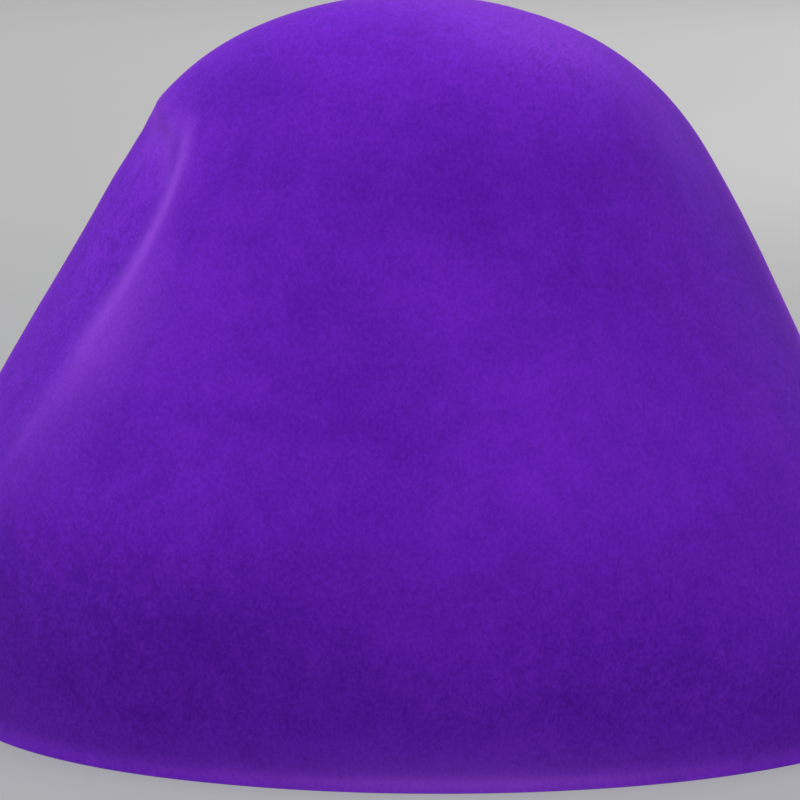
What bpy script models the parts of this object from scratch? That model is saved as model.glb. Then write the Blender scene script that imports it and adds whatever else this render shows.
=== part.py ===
"""A capeline: the moulded felt body that a milliner blocks into a hat, standing on its own rim.

The whole object is one piece of velour felt, so it is one hollow solid: a round crown that runs down a
flared side into a skirt that rolls in and ends in a small turned-out lip. Storing it folded has left one
long hollow with a notch beside its top, and a slight flat on the opposite shoulder.

Frame: metres, +Z up. The origin is on the surface that the rim stands on, under the middle of the hood's
greatest width. -Y is the front, and the side hollow is on the -X side.
"""

import math

import bmesh
import bpy
from mathutils import Vector

MM = 0.001

# The felt
WALL = 2.8 * MM
RIM_DIAMETER = 335 * MM
RIM_ROUNDING = 0.7 * MM
RIM_TRIM = 4 * MM

# The meridian runs down the outside of the felt, from the middle of the crown to the rim.
# Each row: stretch, length along the felt in mm, turn downwards in degrees, rows of faces.
MERIDIAN = (
    ("crown top", 52.0, 21.0, 5),
    ("crown shoulder", 68.0, 39.5, 8),
    ("flared side", 125.3, 4.0, 11),
    ("skirt roll", 78.5, 41.5, 7),
    ("lip", 8.0, -50.0, 4),
)

# How far the middle of each level section lies from the rim's middle, because the hood leans.
# Each row: height above the rim in mm, shift along X in mm.
LEAN = (
    (0.0, 0.0),
    (80.0, -11.5),
    (190.0, -7.0),
    (250.0, -8.5),
)

# Hollows that folding has left in the side. In each table a row is a level of the hollow: height in mm,
# azimuth in degrees of its sharper edge, of its deepest line and of its softer edge (0 along +X, 270 at
# the front), depth in mm, and how the sharper edge rounds over (1 soft, less is more creased).
SIDE_HOLLOW = (
    (80.0, 213.5, 197.0, 172.0, 0.0, 1.0),
    (94.0, 214.0, 198.0, 172.0, 1.8, 0.95),
    (110.0, 215.5, 200.0, 171.0, 3.8, 0.9),
    (130.0, 218.0, 204.0, 170.0, 5.8, 0.85),
    (150.0, 220.5, 207.5, 168.0, 6.8, 0.8),
    (170.0, 222.0, 209.0, 166.0, 7.2, 0.75),
    (186.0, 222.0, 209.5, 164.0, 6.6, 0.75),
    (195.0, 220.5, 207.0, 158.0, 6.0, 0.85),
    (202.0, 217.0, 201.0, 157.0, 5.3, 1.0),
    (208.0, 210.0, 193.0, 162.0, 2.6, 1.0),
    (213.0, 203.0, 186.0, 162.0, 0.1, 1.0),
    (217.0, 197.0, 180.0, 158.0, 0.0, 1.0),
)
SHOULDER_NOTCH = (
    (189.0, 222.0, 218.0, 211.0, 0.0, 1.0),
    (196.0, 221.0, 215.0, 207.0, 0.6, 1.0),
    (203.0, 219.5, 212.0, 202.0, 1.2, 1.0),
    (210.0, 217.0, 208.0, 196.0, 1.2, 1.0),
    (217.0, 214.0, 204.0, 190.0, 0.5, 1.0),
    (222.0, 212.0, 202.0, 188.0, 0.0, 1.0),
)
RIGHT_SHOULDER_FLAT = (
    (160.0, 310.0, 340.0, 370.0, 0.0, 1.0),
    (185.0, 308.0, 340.0, 375.0, 0.6, 1.0),
    (205.0, 306.0, 340.0, 380.0, 1.1, 1.0),
    (222.0, 304.0, 340.0, 385.0, 0.8, 1.0),
    (236.0, 302.0, 340.0, 390.0, 0.0, 1.0),
)
HOLLOWS = (SIDE_HOLLOW, SHOULDER_NOTCH, RIGHT_SHOULDER_FLAT)

# Columns of faces round the hood stand closest together at the side hollow.
COLUMNS = 80
CROWDED_AZIMUTH = math.radians(208)
CROWDING = 0.6

# Points closer than this are one point, and edges that turn by more than this angle stay sharp.
MERGE_DISTANCE = 0.01 * MM
SHARP_ANGLE = math.radians(50)
RIM_ROUNDING_ROWS = 2

FELT_COLOUR = (0.115, 0.014, 0.44, 1.0)
FELT_ROUGHNESS = 0.95


def clear_scene():
    """Empty the scene, so that the file runs the same from any start."""
    for thing in list(bpy.data.objects):
        bpy.data.objects.remove(thing, do_unlink=True)


def meridian_points():
    """(radius, height) of each point down the outside, with the rim at height 0 and at its real radius."""
    points = [(0.0, 0.0)]
    heading = 0.0
    for _, length_mm, turn_deg, rows in MERIDIAN:
        turn = math.radians(turn_deg) / rows
        step = length_mm * MM / rows
        for _ in range(rows):
            heading += turn / 2
            radius, height = points[-1]
            points.append((radius + step * math.cos(heading), height - step * math.sin(heading)))
            heading += turn / 2
    end_radius, end_height = points[-1]
    scale = RIM_DIAMETER / 2 / end_radius
    points = [(radius * scale, (height - end_height) * scale) for radius, height in points]
    trimmed = (points[-1][0] + RIM_TRIM * math.cos(heading), -RIM_TRIM * math.sin(heading))
    return points[:-1] + [trimmed]


def lean_at(height):
    """Shift of the section at this height, eased from one row of LEAN to the next."""
    rows = [(level * MM, shift * MM) for level, shift in LEAN]
    if height <= rows[0][0]:
        return rows[0][1]
    for (low, low_shift), (high, high_shift) in zip(rows, rows[1:]):
        if height <= high:
            share = (height - low) / (high - low)
            eased = share * share * (3 - 2 * share)
            return low_shift + (high_shift - low_shift) * eased
    return rows[-1][1]


def crowded(azimuth):
    """Azimuth of a column once the columns have been drawn towards the side hollow."""
    return azimuth - CROWDING * math.sin(azimuth - CROWDED_AZIMUTH)


def leaning(azimuth, radius, height):
    """Point of the leaning hood at an azimuth, a radius from its middle line and a height."""
    return Vector(
        (
            lean_at(height) + radius * math.cos(azimuth),
            radius * math.sin(azimuth),
            height,
        )
    )


def level_of(rows, height_mm):
    """Values of a hollow's table at a height, on a smooth curve through its rows."""
    above = next(place for place, row in enumerate(rows) if row[0] >= height_mm)
    above = max(above, 1)
    low, high = rows[above - 1], rows[above]
    before, after = rows[max(above - 2, 0)], rows[min(above + 1, len(rows) - 1)]
    share = (height_mm - low[0]) / (high[0] - low[0])
    return [
        b + share / 2 * (c - a + share * (2 * a - 5 * b + 4 * c - d + share * (3 * (b - c) + d - a)))
        for a, b, c, d in zip(before[1:], low[1:], high[1:], after[1:])
    ]


def hollowed(azimuth, height):
    """How far the hollows bring the side in at an azimuth and a height."""
    depth = 0.0
    height_mm = height / MM
    for rows in HOLLOWS:
        if rows[0][0] < height_mm < rows[-1][0]:
            sharp_edge, deepest, soft_edge, deep_mm, rounding = level_of(rows, height_mm)
            away = (math.degrees(azimuth) - deepest + 180) % 360 - 180
            sharp = (sharp_edge > deepest) == (away > 0)
            reach = abs((sharp_edge if sharp else soft_edge) - deepest)
            share = max(1 - abs(away) / reach, 0.0)
            eased = share * share * (3 - 2 * share)
            depth += max(deep_mm, 0.0) * MM * eased ** (rounding if sharp else 1.0)
    return depth


def outer_skin():
    """The outside of the felt as one open sheet, in a new bmesh."""
    points = meridian_points()
    skin = bmesh.new()
    line = [skin.verts.new((radius, 0.0, height)) for radius, height in points]
    edges = [skin.edges.new(pair) for pair in zip(line, line[1:])]
    bmesh.ops.spin(
        skin,
        geom=line + edges,
        cent=(0.0, 0.0, 0.0),
        axis=(0.0, 0.0, 1.0),
        angle=math.tau,
        steps=COLUMNS,
        use_merge=True,
    )
    bmesh.ops.remove_doubles(skin, verts=skin.verts, dist=MERGE_DISTANCE)
    for vert in skin.verts:
        azimuth = crowded(math.atan2(vert.co.y, vert.co.x))
        radius = math.hypot(vert.co.x, vert.co.y)
        radius = radius - hollowed(azimuth, vert.co.z)
        vert.co = leaning(azimuth, radius, vert.co.z)
    bmesh.ops.recalc_face_normals(skin, faces=skin.faces)
    if sum(face.normal.dot(face.calc_center_median()) for face in skin.faces) < 0:
        bmesh.ops.reverse_faces(skin, faces=skin.faces)
    return skin


def foot_of(hood):
    """The point of the rim's level that is midway across the hood both ways."""
    across = [vert.co.x for vert in hood.verts]
    along = [vert.co.y for vert in hood.verts]
    lowest = min(vert.co.z for vert in hood.verts)
    return Vector(((min(across) + max(across)) / 2, (min(along) + max(along)) / 2, lowest))


def felt_hood():
    """The hood: the outer skin given the felt's thickness, cut level at the rim and rounded there."""
    hood = outer_skin()
    bmesh.ops.solidify(hood, geom=hood.faces, thickness=WALL)
    bmesh.ops.bisect_plane(
        hood,
        geom=hood.verts[:] + hood.edges[:] + hood.faces[:],
        plane_co=(0.0, 0.0, 0.0),
        plane_no=(0.0, 0.0, 1.0),
        clear_inner=True,
    )
    cut = [edge for edge in hood.edges if edge.is_boundary]
    bmesh.ops.bridge_loops(hood, edges=cut)
    bmesh.ops.bevel(
        hood,
        geom=cut,
        offset=RIM_ROUNDING,
        segments=RIM_ROUNDING_ROWS,
        profile=0.5,
        affect="EDGES",
        material=-1,
    )
    bmesh.ops.recalc_face_normals(hood, faces=hood.faces)
    bmesh.ops.translate(hood, verts=hood.verts, vec=-foot_of(hood))
    mesh = bpy.data.meshes.new("felt_hood")
    hood.to_mesh(mesh)
    hood.free()
    mesh.shade_smooth()
    mesh.set_sharp_from_angle(angle=SHARP_ANGLE)
    mesh.materials.append(velour_felt())
    made = bpy.data.objects.new("felt_hood", mesh)
    bpy.context.scene.collection.objects.link(made)
    return made


def velour_felt():
    """Purple velour felt: no metal, no gloss."""
    material = bpy.data.materials.new("velour_felt")
    material.use_nodes = True
    shader = material.node_tree.nodes["Principled BSDF"]
    shader.inputs["Base Color"].default_value = FELT_COLOUR
    shader.inputs["Roughness"].default_value = FELT_ROUGHNESS
    shader.inputs["Metallic"].default_value = 0.0
    return material


def main():
    clear_scene()
    felt_hood()


main()
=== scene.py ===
"""The looks of the felt hood: brushed velour outside, plainer felt inside, under soft studio light."""

import math

import bmesh
import bpy
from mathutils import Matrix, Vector, noise


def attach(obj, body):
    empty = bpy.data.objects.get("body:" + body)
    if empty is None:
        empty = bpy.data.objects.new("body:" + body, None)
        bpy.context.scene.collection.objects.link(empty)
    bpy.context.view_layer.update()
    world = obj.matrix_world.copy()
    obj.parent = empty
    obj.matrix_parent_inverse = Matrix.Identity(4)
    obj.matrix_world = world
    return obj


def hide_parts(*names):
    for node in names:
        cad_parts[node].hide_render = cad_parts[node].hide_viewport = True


MM = 0.001

# The felt
WALL = 2.8 * MM
RIM_DIAMETER = 335 * MM
RIM_ROUNDING = 0.35 * MM
RIM_TRIM = 4 * MM

# The meridian runs down the outside of the felt, from the middle of the crown to the rim.
# Each row: stretch, length along the felt in mm, turn downwards in degrees, rows of faces.
MERIDIAN = (
    ("crown top", 52.0, 21.0, 17),
    ("crown shoulder", 68.0, 39.5, 24),
    ("flared side", 125.3, 4.0, 40),
    ("skirt roll", 78.5, 41.5, 27),
    ("lip", 8.0, -50.0, 9),
)

# How far the middle of each level section lies from the rim's middle, because the hood leans.
# Each row: height above the rim in mm, shift along X in mm.
LEAN = (
    (0.0, 0.0),
    (80.0, -11.5),
    (190.0, -7.0),
    (250.0, -8.5),
)

# Hollows that folding has left in the side. In each table a row is a level of the hollow: height in mm,
# azimuth in degrees of its sharper edge, of its deepest line and of its softer edge (0 along +X, 270 at
# the front), depth in mm, and how the sharper edge rounds over (1 soft, less is more creased).
SIDE_HOLLOW = (
    (80.0, 213.5, 197.0, 172.0, 0.0, 1.0),
    (94.0, 214.0, 198.0, 172.0, 1.8, 0.95),
    (110.0, 215.5, 200.0, 171.0, 3.8, 0.9),
    (130.0, 218.0, 204.0, 170.0, 5.8, 0.85),
    (150.0, 220.5, 207.5, 168.0, 6.8, 0.8),
    (170.0, 222.0, 209.0, 166.0, 7.2, 0.75),
    (186.0, 222.0, 209.5, 164.0, 6.6, 0.75),
    (195.0, 220.5, 207.0, 158.0, 6.0, 0.85),
    (202.0, 217.0, 201.0, 157.0, 5.3, 1.0),
    (208.0, 210.0, 193.0, 162.0, 2.6, 1.0),
    (213.0, 203.0, 186.0, 162.0, 0.1, 1.0),
    (217.0, 197.0, 180.0, 158.0, 0.0, 1.0),
)
SHOULDER_NOTCH = (
    (189.0, 222.0, 218.0, 211.0, 0.0, 1.0),
    (196.0, 221.0, 215.0, 207.0, 0.6, 1.0),
    (203.0, 219.5, 212.0, 202.0, 1.2, 1.0),
    (210.0, 217.0, 208.0, 196.0, 1.2, 1.0),
    (217.0, 214.0, 204.0, 190.0, 0.5, 1.0),
    (222.0, 212.0, 202.0, 188.0, 0.0, 1.0),
)
RIGHT_SHOULDER_FLAT = (
    (160.0, 310.0, 340.0, 370.0, 0.0, 1.0),
    (185.0, 308.0, 340.0, 375.0, 0.6, 1.0),
    (205.0, 306.0, 340.0, 380.0, 1.1, 1.0),
    (222.0, 304.0, 340.0, 385.0, 0.8, 1.0),
    (236.0, 302.0, 340.0, 390.0, 0.0, 1.0),
)
HOLLOWS = (SIDE_HOLLOW, SHOULDER_NOTCH, RIGHT_SHOULDER_FLAT)

# Columns of faces round the hood stand closest together at the side hollow.
COLUMNS = 340
CROWDED_AZIMUTH = math.radians(208)
CROWDING = 0.6

# Points closer than this are one point, and edges that turn by more than this angle stay sharp.
MERGE_DISTANCE = 0.01 * MM
SHARP_ANGLE = math.radians(50)
RIM_ROUNDING_ROWS = 3

# The finishes, by their place in the mesh. A face belongs to the inside if it looks towards a point of the
# hollow, and to the cut edge if it looks down more than this, at the rim.
OUTSIDE, INSIDE, CUT_EDGE = range(3)
POINT_OF_HOLLOW = Vector((0.0, 0.0, 0.1))
FACES_DOWN = -0.8

# The felt is never quite even: soft swells, and the nap's own small humps.
# Each row: unevenness, size across in mm, height in mm.
UNEVENNESS = (
    ("swells", 45.0, 0.30),
    ("humps", 9.0, 0.06),
)

# Where the felt is painted darker or lighter. Across the front these are the nap's stroked clouds; at the
# crown's right, the shoulders, the right side, the left, the side hollow, the notch and the skirt they are
# painted light and shade. Each row: patch, azimuth in degrees, height in mm, size across and size up and
# down in mm, and its tone, below 0 where it is darker.
TONE_AND_PAINTED_LIGHT_PATCHES = (
    ("front upper, middle", 278.0, 186.0, 13.0, 15.0, -1.0),
    ("front upper, above", 270.0, 207.0, 24.0, 12.0, -0.5),
    ("front upper, left of middle", 260.0, 182.0, 17.0, 13.0, -0.45),
    ("front upper, right of middle", 296.0, 191.0, 22.0, 9.0, -0.55),
    ("front upper, far right", 317.0, 200.0, 24.0, 12.0, -0.5),
    ("front upper, below right", 296.0, 168.0, 7.0, 14.0, -0.3),
    ("right shoulder", 335.0, 170.0, 60.0, 40.0, -0.5),
    ("left shoulder", 223.0, 220.0, 26.0, 11.0, -1.2),
    ("left shoulder, below", 243.0, 199.0, 13.0, 8.0, -0.45),
    ("front middle", 264.0, 140.0, 8.0, 20.0, -0.6),
    ("front middle, left of that", 256.0, 155.0, 10.0, 9.0, -0.6),
    ("front middle, light", 274.0, 157.0, 26.0, 10.0, 0.5),
    ("front middle right, light", 301.0, 100.0, 26.0, 30.0, 0.3),
    ("crown right, light", 303.0, 231.0, 26.0, 14.0, 0.25),
    ("crown, dark", 278.0, 214.0, 15.0, 9.0, -0.4),
    ("crown, far right, light", 332.0, 231.0, 30.0, 12.0, 0.5),
    ("right side, dark", 349.0, 170.0, 34.0, 50.0, -1.0),
    ("middle, light", 283.0, 118.0, 20.0, 22.0, 0.3),
    ("front middle right, lower, light", 283.0, 98.0, 30.0, 14.0, 0.4),
    ("front middle right, higher, light", 290.0, 117.0, 24.0, 24.0, 0.6),
    ("front left, below", 250.0, 60.0, 28.0, 22.0, -0.6),
    ("front middle, lower, dark", 259.0, 83.0, 30.0, 15.0, -0.45),
    ("left, dark", 220.0, 78.0, 40.0, 34.0, -0.8),
    ("skirt foot, light", 270.0, 13.0, 120.0, 7.0, 0.8),
    ("side hollow, light", 203.0, 186.0, 26.0, 26.0, 0.8),
    ("notch, light", 206.5, 204.0, 9.0, 6.0, 1.4),
    ("side hollow, dark", 200.0, 118.0, 22.0, 26.0, -0.7),
    ("skirt, all along the left", 232.0, 46.0, 60.0, 22.0, -0.5),
    ("skirt, far left", 225.0, 34.0, 14.0, 9.0, -0.3),
    ("skirt, left", 240.0, 22.0, 20.0, 9.0, -0.5),
    ("skirt, right", 287.0, 28.0, 16.0, 8.0, -0.5),
    ("skirt, right of that", 299.0, 40.0, 16.0, 14.0, -0.35),
    ("skirt, far right", 314.0, 23.0, 16.0, 14.0, -0.5),
)

# Where the nap is rougher. Each row: patch, azimuth in degrees, height in mm, size across and size up and
# down in mm, and how much rougher.
ROUGH_PATCHES = (
    ("skirt, left", 230.0, 44.0, 75.0, 42.0, 1.0),
    ("skirt, middle and right", 295.0, 30.0, 90.0, 34.0, 0.9),
    ("crown, right", 315.0, 232.0, 40.0, 18.0, 0.7),
    ("crown, left", 240.0, 235.0, 40.0, 14.0, 0.3),
    ("side hollow", 203.0, 165.0, 28.0, 55.0, 1.2),
)

# Where the nap is ruffled into short slanting furrows. Each row: patch, azimuth in degrees, height in mm,
# size across and size up and down in mm, and how much it is ruffled.
RUFFLED_PATCHES = (
    ("crown, right", 312.0, 231.0, 36.0, 16.0, 1.0),
)

# Painted highlights along the folds, standing in for the light and sheen that the crests and the notch's
# edges catch. In each table a row is a level of a band: height in mm, azimuth in degrees of its middle, how
# far it fades in mm towards the hollow and towards the front, and how strong the painted highlight is.
CREST_HIGHLIGHT = (
    (92.0, 211.0, 9.0, 8.0, 0.0),
    (106.0, 211.6, 9.0, 8.0, 0.03),
    (118.0, 215.0, 8.5, 8.0, 0.04),
    (128.0, 217.6, 8.0, 7.5, 0.07),
    (138.0, 217.0, 8.0, 7.0, 0.08),
    (148.0, 217.7, 7.5, 6.5, 0.12),
    (160.0, 218.4, 7.0, 5.0, 0.21),
    (172.0, 218.9, 6.5, 4.4, 0.34),
    (187.0, 219.0, 6.5, 4.0, 0.36),
    (197.0, 218.6, 6.0, 3.8, 0.38),
    (202.0, 217.6, 6.0, 4.0, 0.34),
    (207.0, 215.5, 6.0, 4.5, 0.22),
    (212.0, 213.0, 6.0, 5.0, 0.0),
)
CREST_SIDE_HIGHLIGHT = (
    (70.0, 212.0, 12.0, 28.0, 0.0),
    (90.0, 212.4, 13.0, 28.0, 0.1),
    (106.0, 212.4, 13.0, 27.0, 0.17),
    (123.0, 217.0, 15.0, 24.0, 0.23),
    (138.0, 217.5, 16.0, 23.0, 0.33),
    (155.0, 219.0, 15.0, 19.0, 0.29),
    (175.0, 220.0, 12.0, 9.0, 0.14),
    (195.0, 220.0, 12.0, 7.0, 0.09),
    (208.0, 217.0, 10.0, 6.0, 0.0),
)
NOTCH_HIGHLIGHT = (
    (178.0, 212.0, 18.0, 8.0, 0.0),
    (190.0, 211.0, 18.0, 9.0, 0.14),
    (198.0, 207.0, 20.0, 10.0, 0.2),
    (204.0, 199.0, 18.0, 18.0, 0.24),
    (209.0, 190.0, 12.0, 26.0, 0.24),
    (213.0, 187.0, 12.0, 24.0, 0.16),
    (220.0, 186.0, 14.0, 20.0, 0.0),
)
HIGHLIGHT_BANDS = (CREST_HIGHLIGHT, CREST_SIDE_HIGHLIGHT, NOTCH_HIGHLIGHT)

# Painted highlights away from the folds. Each row: patch, azimuth in degrees, height in mm, size across and
# size up and down in mm, and how strong the painted highlight is.
HIGHLIGHT_PATCHES = (
    ("crown, right", 318.0, 237.0, 36.0, 13.0, 0.22),
    ("right shoulder", 336.0, 205.0, 24.0, 26.0, 0.13),
    ("right side", 335.0, 150.0, 44.0, 60.0, 0.05),
    ("notch, inner corner", 208.0, 203.5, 7.0, 6.0, 0.16),
    ("notch, outer edge", 194.0, 198.0, 9.0, 9.0, 0.13),
    ("side hollow", 197.0, 140.0, 14.0, 40.0, 0.05),
)

# The painted highlight along the lip, where it catches the light from above, with a painted pale line at
# the very edge over the contact shade. Each row: height in mm, how strong. It is strongest at the front,
# and falls off either way round to the share that the rest of the lip has.
LIP_HIGHLIGHT = (
    (0.0, 1.0),
    (0.7, 0.3),
    (1.3, 0.36),
    (2.0, 0.44),
    (3.2, 0.5),
    (5.0, 0.33),
    (6.6, 0.27),
    (8.6, 0.18),
    (12.0, 0.07),
    (20.0, 0.0),
)
LIP_FRONT = math.radians(274)
LIP_FRONT_SPREAD = math.radians(26)
LIP_ELSEWHERE = 0.22

# The camera stands a little above the crown and sees the photograph's crop of the hood.
CAMERA_DISTANCE = 1.6
CAMERA_ELEVATION = math.radians(6.6)
CAMERA_AIM = Vector((-0.0075, 0.0, 0.1070))
WIDTH_IN_VIEW = 0.2820
SENSOR = 36.0


def meridian_points():
    """(radius, height) of each point down the outside, with the rim at height 0 and at its real radius."""
    points = [(0.0, 0.0)]
    heading = 0.0
    for _, length_mm, turn_deg, rows in MERIDIAN:
        turn = math.radians(turn_deg) / rows
        step = length_mm * MM / rows
        for _ in range(rows):
            heading += turn / 2
            radius, height = points[-1]
            points.append((radius + step * math.cos(heading), height - step * math.sin(heading)))
            heading += turn / 2
    end_radius, end_height = points[-1]
    scale = RIM_DIAMETER / 2 / end_radius
    points = [(radius * scale, (height - end_height) * scale) for radius, height in points]
    trimmed = (points[-1][0] + RIM_TRIM * math.cos(heading), -RIM_TRIM * math.sin(heading))
    return points[:-1] + [trimmed]


def lean_at(height):
    """Shift of the section at this height, eased from one row of LEAN to the next."""
    rows = [(level * MM, shift * MM) for level, shift in LEAN]
    if height <= rows[0][0]:
        return rows[0][1]
    for (low, low_shift), (high, high_shift) in zip(rows, rows[1:]):
        if height <= high:
            share = (height - low) / (high - low)
            eased = share * share * (3 - 2 * share)
            return low_shift + (high_shift - low_shift) * eased
    return rows[-1][1]


def crowded(azimuth):
    """Azimuth of a column once the columns have been drawn towards the side hollow."""
    return azimuth - CROWDING * math.sin(azimuth - CROWDED_AZIMUTH)


def leaning(azimuth, radius, height):
    """Point of the leaning hood at an azimuth, a radius from its middle line and a height."""
    return Vector(
        (
            lean_at(height) + radius * math.cos(azimuth),
            radius * math.sin(azimuth),
            height,
        )
    )


def radius_at(points, height):
    """Radius of the meridian at a height."""
    for (inner, upper), (outer, lower) in zip(points, points[1:]):
        if lower <= height <= upper:
            share = (upper - height) / (upper - lower)
            return inner + (outer - inner) * share
    return points[-1][0]


def level_of(rows, height_mm):
    """Values of a table of levels at a height, on a smooth curve through its rows."""
    above = next(place for place, row in enumerate(rows) if row[0] >= height_mm)
    above = max(above, 1)
    low, high = rows[above - 1], rows[above]
    before, after = rows[max(above - 2, 0)], rows[min(above + 1, len(rows) - 1)]
    share = (height_mm - low[0]) / (high[0] - low[0])
    return [
        b + share / 2 * (c - a + share * (2 * a - 5 * b + 4 * c - d + share * (3 * (b - c) + d - a)))
        for a, b, c, d in zip(before[1:], low[1:], high[1:], after[1:])
    ]


def hollowed(azimuth, height):
    """How far the hollows bring the side in at an azimuth and a height."""
    depth = 0.0
    height_mm = height / MM
    for rows in HOLLOWS:
        if rows[0][0] < height_mm < rows[-1][0]:
            sharp_edge, deepest, soft_edge, deep_mm, rounding = level_of(rows, height_mm)
            away = (math.degrees(azimuth) - deepest + 180) % 360 - 180
            sharp = (sharp_edge > deepest) == (away > 0)
            reach = abs((sharp_edge if sharp else soft_edge) - deepest)
            share = max(1 - abs(away) / reach, 0.0)
            eased = share * share * (3 - 2 * share)
            depth += max(deep_mm, 0.0) * MM * eased ** (rounding if sharp else 1.0)
    return depth


def patched(rows, points, azimuth, height):
    """Sum of a table's patches at a place, each fading out softly from its middle."""
    total = 0.0
    radius = radius_at(points, height)
    for _, azimuth_deg, height_mm, across_mm, along_mm, strength in rows:
        turned = math.remainder(azimuth - math.radians(azimuth_deg), math.tau)
        across = turned * radius / (across_mm * MM)
        along = (height / MM - height_mm) / along_mm
        total += strength * math.exp(-(across * across + along * along))
    return total


def band_highlight(points, azimuth, height):
    """How strong the painted highlight is along the folds, 0 where there is none."""
    nap = 0.0
    radius = radius_at(points, height)
    for rows in HIGHLIGHT_BANDS:
        if rows[0][0] < height / MM < rows[-1][0]:
            middle_deg, inward_mm, frontward_mm, highlight_strength = level_of(rows, height / MM)
            turned = math.remainder(azimuth - math.radians(middle_deg), math.tau)
            across = turned * radius / ((frontward_mm if turned > 0 else inward_mm) * MM)
            nap += max(highlight_strength, 0.0) * math.exp(-across * across)
    return nap


def lip_highlight(azimuth, height):
    """How strong the painted highlight is at the lip, 0 where there is none."""
    height_mm = max(height / MM, LIP_HIGHLIGHT[0][0])
    if height_mm >= LIP_HIGHLIGHT[-1][0]:
        return 0.0
    turned = math.remainder(azimuth - LIP_FRONT, math.tau) / LIP_FRONT_SPREAD
    share = LIP_ELSEWHERE + (1 - LIP_ELSEWHERE) * math.exp(-turned * turned)
    return max(level_of(LIP_HIGHLIGHT, height_mm)[0], 0.0) * share


def unevenness_at(point):
    """How far the felt stands out at a point, below 0 where it lies in, from its swells and humps."""
    return sum(noise.noise(point / (size * MM)) * height * MM for _, size, height in UNEVENNESS)


def outer_skin():
    """The outside of the felt as one open sheet, in a new bmesh."""
    points = meridian_points()
    skin = bmesh.new()
    line = [skin.verts.new((radius, 0.0, height)) for radius, height in points]
    edges = [skin.edges.new(pair) for pair in zip(line, line[1:])]
    bmesh.ops.spin(
        skin,
        geom=line + edges,
        cent=(0.0, 0.0, 0.0),
        axis=(0.0, 0.0, 1.0),
        angle=math.tau,
        steps=COLUMNS,
        use_merge=True,
    )
    bmesh.ops.remove_doubles(skin, verts=skin.verts, dist=MERGE_DISTANCE)
    tone = skin.verts.layers.float.new("stroked_tone_and_painted_light")
    rough = skin.verts.layers.float.new("rough_nap")
    ruffled = skin.verts.layers.float.new("ruffled_nap")
    painted_highlight = skin.verts.layers.float.new("painted_highlight")
    for vert in skin.verts:
        azimuth = crowded(math.atan2(vert.co.y, vert.co.x))
        radius = math.hypot(vert.co.x, vert.co.y)
        # The tone holds the nap's stroked clouds and also painted light and shade.
        vert[tone] = patched(TONE_AND_PAINTED_LIGHT_PATCHES, points, azimuth, vert.co.z)
        vert[rough] = patched(ROUGH_PATCHES, points, azimuth, vert.co.z)
        vert[ruffled] = patched(RUFFLED_PATCHES, points, azimuth, vert.co.z)
        # Painted highlights along the folds, in patches and at the lip.
        vert[painted_highlight] = (
            band_highlight(points, azimuth, vert.co.z)
            + patched(HIGHLIGHT_PATCHES, points, azimuth, vert.co.z)
            + lip_highlight(azimuth, vert.co.z)
        )
        radius = radius - hollowed(azimuth, vert.co.z)
        vert.co = leaning(azimuth, radius, vert.co.z)
    bmesh.ops.recalc_face_normals(skin, faces=skin.faces)
    if sum(face.normal.dot(face.calc_center_median()) for face in skin.faces) < 0:
        bmesh.ops.reverse_faces(skin, faces=skin.faces)
    skin.normal_update()
    raised = [vert.co + vert.normal * unevenness_at(vert.co) for vert in skin.verts]
    for vert, place in zip(skin.verts, raised):
        vert.co = place
    return skin


def foot_of(hood):
    """The point of the rim's level that is midway across the hood both ways."""
    across = [vert.co.x for vert in hood.verts]
    along = [vert.co.y for vert in hood.verts]
    lowest = min(vert.co.z for vert in hood.verts)
    return Vector(((min(across) + max(across)) / 2, (min(along) + max(along)) / 2, lowest))


def felt_hood():
    """The hood: the outer skin given the felt's thickness, cut level at the rim and rounded there."""
    hood = outer_skin()
    bmesh.ops.solidify(hood, geom=hood.faces, thickness=WALL)
    bmesh.ops.bisect_plane(
        hood,
        geom=hood.verts[:] + hood.edges[:] + hood.faces[:],
        plane_co=(0.0, 0.0, 0.0),
        plane_no=(0.0, 0.0, 1.0),
        clear_inner=True,
    )
    cut = [edge for edge in hood.edges if edge.is_boundary]
    bmesh.ops.bridge_loops(hood, edges=cut)
    bmesh.ops.bevel(
        hood,
        geom=cut,
        offset=RIM_ROUNDING,
        segments=RIM_ROUNDING_ROWS,
        profile=0.5,
        affect="EDGES",
        material=-1,
    )
    bmesh.ops.recalc_face_normals(hood, faces=hood.faces)
    bmesh.ops.translate(hood, verts=hood.verts, vec=-foot_of(hood))
    hood.normal_update()
    for face in hood.faces:
        centre = face.calc_center_median()
        if centre.z < RIM_ROUNDING and face.normal.z < FACES_DOWN:
            face.material_index = CUT_EDGE
        elif face.normal.dot(centre - POINT_OF_HOLLOW) < 0:
            face.material_index = INSIDE
        else:
            face.material_index = OUTSIDE
    mesh = bpy.data.meshes.new("velour_hood")
    hood.to_mesh(mesh)
    hood.free()
    mesh.shade_smooth()
    mesh.set_sharp_from_angle(angle=SHARP_ANGLE)
    mesh.materials.append(brushed_velour())
    mesh.materials.append(plain_inside())
    mesh.materials.append(cut_edge())
    made = bpy.data.objects.new("velour_hood", mesh)
    bpy.context.scene.collection.objects.link(made)
    return made


class Wire:
    """One socket of a shader, with the sums that numbers have."""

    def __init__(self, shader, socket):
        self.shader = shader
        self.socket = socket

    def sum_with(self, operation, first, second):
        return self.shader.node("ShaderNodeMath", {"operation": operation}, {0: first, 1: second})

    def __add__(self, other):
        return self.sum_with("ADD", self, other)

    def __radd__(self, other):
        return self.sum_with("ADD", other, self)

    def __sub__(self, other):
        return self.sum_with("SUBTRACT", self, other)

    def __rsub__(self, other):
        return self.sum_with("SUBTRACT", other, self)

    def __mul__(self, other):
        return self.sum_with("MULTIPLY", self, other)

    def __rmul__(self, other):
        return self.sum_with("MULTIPLY", other, self)


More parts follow.
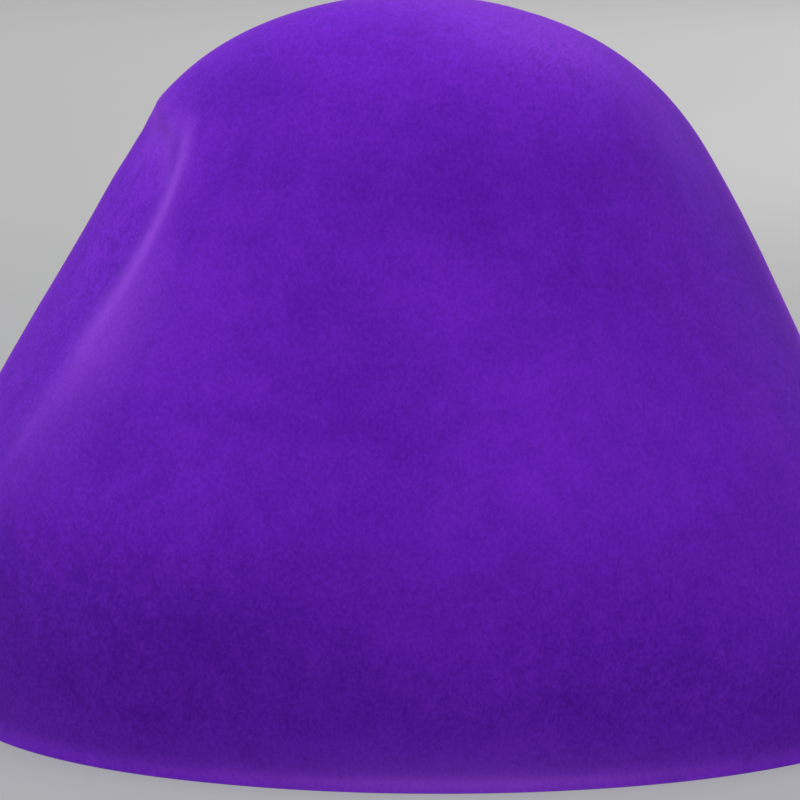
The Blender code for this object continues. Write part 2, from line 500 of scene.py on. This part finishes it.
class Finish:
    """A material, and the one way its nodes are added."""

    def __init__(self, name):
        self.material = bpy.data.materials.new(name)
        self.material.use_nodes = True
        self.tree = self.material.node_tree
        self.surface = self.tree.nodes["Principled BSDF"]
        self.place = self.node("ShaderNodeTexCoord", {}, {}, "Object")

    def node(self, kind, settings, values, output=0):
        """Adds a node with its settings, its sockets' values or wires, and gives one of its outputs."""
        made = self.tree.nodes.new(kind)
        for name, value in settings.items():
            setattr(made, name, value)
        for name, value in values.items():
            self.feed(made.inputs[name], value)
        return Wire(self, made.outputs[output])

    def feed(self, socket, value):
        """Links a wire to a socket, or sets the socket to a value."""
        if isinstance(value, Wire):
            self.tree.links.new(value.socket, socket)
        else:
            socket.default_value = value

    def set_surface(self, **values):
        """Feeds the shader's sockets, named with an underscore for each space."""
        for name, value in values.items():
            self.feed(self.surface.inputs[name.replace("_", " ")], value)

    def stretched(self, across, along, deep=None):
        """Object coordinates in a pattern's sizes, in metres: across the hood, up it, and front to back."""
        return self.node(
            "ShaderNodeMapping",
            {},
            {"Vector": self.place, "Scale": (1 / across, 1 / (deep or across), 1 / along)},
        )

    def slanting(self, along, across, through, slant):
        """Object coordinates in the sizes, in metres, of a pattern that slants up across the front."""
        return self.node(
            "ShaderNodeMapping",
            {"vector_type": "TEXTURE"},
            {"Vector": self.place, "Rotation": (0.0, -slant, 0.0), "Scale": (along, through, across)},
        )

    def written(self, name):
        """A value that the mesh carries at each of its points."""
        return self.node("ShaderNodeAttribute", {"attribute_name": name}, {}, "Fac")

    def cloud(self, place, detail=2.0, roughness=0.5, distortion=0.0):
        """Soft noise from about 0 to 1 over a pattern's place."""
        return self.node(
            "ShaderNodeTexNoise",
            {"noise_dimensions": "3D"},
            {
                "Vector": place,
                "Scale": 1.0,
                "Detail": detail,
                "Roughness": roughness,
                "Distortion": distortion,
            },
        )

    def between(self, value, low, high):
        """0 below low, 1 above high, and eased between them."""
        return self.node(
            "ShaderNodeMapRange",
            {"interpolation_type": "SMOOTHSTEP"},
            {"Value": value, "From Min": low, "From Max": high},
        )

    def blended(self, share, first, second):
        """A colour from first to second."""
        return self.node(
            "ShaderNodeMix",
            {"data_type": "RGBA"},
            {0: share, 6: first, 7: second},
            2,
        )

    def bump(self, height, distance, strength):
        """A normal from a height of 0 to 1 over a distance in metres."""
        return self.node(
            "ShaderNodeBump",
            {},
            {"Height": height, "Distance": distance, "Strength": strength},
        )


# The felt's colours: flat nap, raised nap, a pale violet for painted highlights, and the sheen of its tips.
DEEP_PURPLE = (0.078, 0.0044, 0.323, 1.0)
BRIGHT_PURPLE = (0.156, 0.0146, 0.546, 1.0)
HIGHLIGHT_PURPLE = (0.315, 0.072, 0.71, 1.0)
NAP_SHEEN = (0.56, 0.115, 0.87, 1.0)


def brushed_velour():
    """The outside: a dense raised nap, cloudy where it has been stroked one way or the other, with painted
    light and shade in its tone and painted highlights along its folds and lip.
    """
    finish = Finish("brushed_velour")
    stroked = finish.cloud(finish.stretched(0.055, 0.05), detail=3.0, distortion=0.6)
    patches = finish.cloud(finish.stretched(0.009, 0.011), detail=3.0)
    tufts = finish.cloud(finish.stretched(0.0011, 0.0015, 0.0036), detail=2.0, roughness=0.6)
    hairs = finish.cloud(finish.stretched(0.00045, 0.0007, 0.0015), detail=1.0)
    clumps = finish.cloud(finish.stretched(0.0032, 0.0042, 0.008), detail=2.0)
    lightness = 0.155 + 0.16 * stroked + 0.14 * patches + 0.29 * tufts + 0.08 * hairs
    # The tone written on the mesh holds stroked clouds and painted light and shade.
    lightness = lightness + 0.07 * finish.written("stroked_tone_and_painted_light")
    unruly = 0.22 * clumps + 0.14 * tufts - 0.18
    lightness = lightness + finish.written("rough_nap") * unruly
    ruffles = finish.cloud(finish.slanting(0.0038, 0.001, 0.006, math.radians(40)), detail=1.0)
    ruffled = 0.09 * finish.between(ruffles, 0.3, 0.55) - 0.07
    lightness = lightness + finish.written("ruffled_nap") * ruffled
    nap = finish.blended(finish.between(lightness, 0.3, 0.7), DEEP_PURPLE, BRIGHT_PURPLE)
    finish.set_surface(
        # Painted highlight: the colour turns pale violet along the folds, at the lip and in a few patches.
        Base_Color=finish.blended(finish.written("painted_highlight") * (0.6 + 0.8 * lightness), nap, HIGHLIGHT_PURPLE),
        Roughness=0.95,
        Specular_IOR_Level=0.1,
        Sheen_Weight=0.6,
        Sheen_Roughness=0.16,
        Sheen_Tint=NAP_SHEEN,
        Normal=finish.bump(0.7 * tufts + 0.3 * hairs, 0.0003, 0.6),
    )
    return finish.material


def plain_inside():
    """The inside: the same felt with its nap left flat, so it is duller and a little mottled."""
    finish = Finish("plain_inside")
    mottle = finish.cloud(finish.stretched(0.018, 0.018), detail=4.0)
    fibres = finish.cloud(finish.stretched(0.0009, 0.0009), detail=3.0, roughness=0.7)
    lightness = 0.5 * mottle + 0.5 * fibres
    finish.set_surface(
        Base_Color=finish.blended(finish.between(lightness, 0.3, 0.7), DEEP_PURPLE, BRIGHT_PURPLE),
        Roughness=0.95,
        Specular_IOR_Level=0.15,
        Sheen_Weight=0.5,
        Sheen_Roughness=0.6,
        Sheen_Tint=NAP_SHEEN,
        Normal=finish.bump(fibres, 0.0004, 0.6),
    )
    return finish.material


def cut_edge():
    """The rim's cut edge: the felt's own dense core, without a nap."""
    finish = Finish("cut_edge")
    fibres = finish.cloud(finish.stretched(0.0006, 0.0006), detail=3.0, roughness=0.7)
    finish.set_surface(
        Base_Color=finish.blended(finish.between(fibres, 0.3, 0.7), DEEP_PURPLE, BRIGHT_PURPLE),
        Roughness=1.0,
        Specular_IOR_Level=0.1,
        Normal=finish.bump(fibres, 0.0004, 0.8),
    )
    return finish.material


# The floor: a table near the hood that glows, painted light that fills in the hood's contact shadow, and
# that passes into plain paper further out; the paper is darker near the hood than far out, painted shade in
# place of the light's falloff. Each pair is where, in metres from the middle, one begins to give way to the
# next and where it is gone.
TABLE_PAPER = (0.10, 0.10, 0.105, 1.0)
TABLE_GLOW = (0.275, 0.275, 0.290, 1.0)
NO_GLOW = (0.0, 0.0, 0.0, 1.0)
NEAR_PAPER = (0.335, 0.335, 0.35, 1.0)
FAR_PAPER = (0.458, 0.458, 0.458, 1.0)
NEAR_FROM = (0.25, 1.2)
FAR_FROM = (0.3, 2.66)
FLOOR_LEVEL = -0.02 * MM
FLOOR_RADIUS = 40.0


def studio_floor():
    """A wide pale floor just under the rim: a table round the hood that glows with painted light, and plain
    paper beyond it.
    """
    disc = bmesh.new()
    bmesh.ops.create_circle(disc, cap_ends=True, radius=FLOOR_RADIUS, segments=64)
    bmesh.ops.translate(disc, verts=disc.verts, vec=(0.0, 0.0, FLOOR_LEVEL))
    mesh = bpy.data.meshes.new("studio_floor")
    disc.to_mesh(mesh)
    disc.free()
    finish = Finish("pale_paper")
    away = finish.node("ShaderNodeVectorMath", {"operation": "LENGTH"}, {0: finish.place}, "Value")
    open_paper = finish.blended(finish.between(away, *FAR_FROM), NEAR_PAPER, FAR_PAPER)
    off_the_table = finish.between(away, *NEAR_FROM)
    finish.set_surface(
        Base_Color=finish.blended(off_the_table, TABLE_PAPER, open_paper),
        Emission_Color=finish.blended(off_the_table, TABLE_GLOW, NO_GLOW),
        Emission_Strength=1.0,
        Roughness=0.9,
    )
    mesh.materials.append(finish.material)
    floor = bpy.data.objects.new("studio_floor", mesh)
    bpy.context.scene.collection.objects.link(floor)


# Each row: light, its place, what it is aimed at, its size in metres and its power in watts.
SOFT_BOXES = (
    ("overhead", (-0.1, -0.3, 1.8), (0.0, 0.0, 0.15), 1.2, 17.0),
    ("left", (-1.8, 0.5, 0.9), (0.0, 0.0, 0.12), 1.0, 8.5),
    ("back_right", (2.1, 2.9, 1.1), (1.5, 2.9, 0.0), 1.0, 20.0),
    ("far_right", (5.0, 4.4, 4.5), (5.0, 9.0, 0.0), 2.5, 400.0),
)
AIR_COLOUR = (1.0, 1.0, 1.0, 1.0)
AIR_STRENGTH = 0.72


def soft_box(name, place, aim, size, power):
    """A square light that shines from a place towards an aim."""
    lamp = bpy.data.lights.new(name, "AREA")
    lamp.shape = "SQUARE"
    lamp.size = size
    lamp.energy = power
    made = bpy.data.objects.new(name, lamp)
    made.location = place
    made.rotation_euler = (Vector(aim) - Vector(place)).to_track_quat("-Z", "Y").to_euler()
    bpy.context.scene.collection.objects.link(made)


def studio_light():
    """Even grey light all round, and large soft boxes above and to the sides."""
    world = bpy.data.worlds.new("studio_air")
    world.use_nodes = True
    air = world.node_tree.nodes["Background"]
    air.inputs["Color"].default_value = AIR_COLOUR
    air.inputs["Strength"].default_value = AIR_STRENGTH
    bpy.context.scene.world = world
    for soft_light in SOFT_BOXES:
        soft_box(*soft_light)


def photograph_camera():
    """The camera at the photograph's distance, height and crop."""
    lens = bpy.data.cameras.new("camera")
    lens.sensor_width = SENSOR
    lens.lens = SENSOR * CAMERA_DISTANCE / WIDTH_IN_VIEW
    lens.clip_end = 2 * FLOOR_RADIUS
    camera = bpy.data.objects.new("camera", lens)
    back = Vector((0.0, -math.cos(CAMERA_ELEVATION), math.sin(CAMERA_ELEVATION)))
    camera.location = CAMERA_AIM + back * CAMERA_DISTANCE
    camera.rotation_euler = (math.pi / 2 - CAMERA_ELEVATION, 0.0, 0.0)
    bpy.context.scene.collection.objects.link(camera)
    bpy.context.scene.camera = camera


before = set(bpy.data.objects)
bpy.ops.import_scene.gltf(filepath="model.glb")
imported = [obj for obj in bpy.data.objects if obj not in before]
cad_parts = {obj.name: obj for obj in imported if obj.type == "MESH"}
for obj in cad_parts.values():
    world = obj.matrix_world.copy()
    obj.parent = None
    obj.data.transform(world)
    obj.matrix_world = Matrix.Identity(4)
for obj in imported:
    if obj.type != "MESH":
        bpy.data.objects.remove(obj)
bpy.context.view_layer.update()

photograph_camera()
studio_light()
studio_floor()
hood = felt_hood()
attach(hood, "root")
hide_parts("felt_hood")
bpy.context.scene.view_settings.view_transform = "Standard"
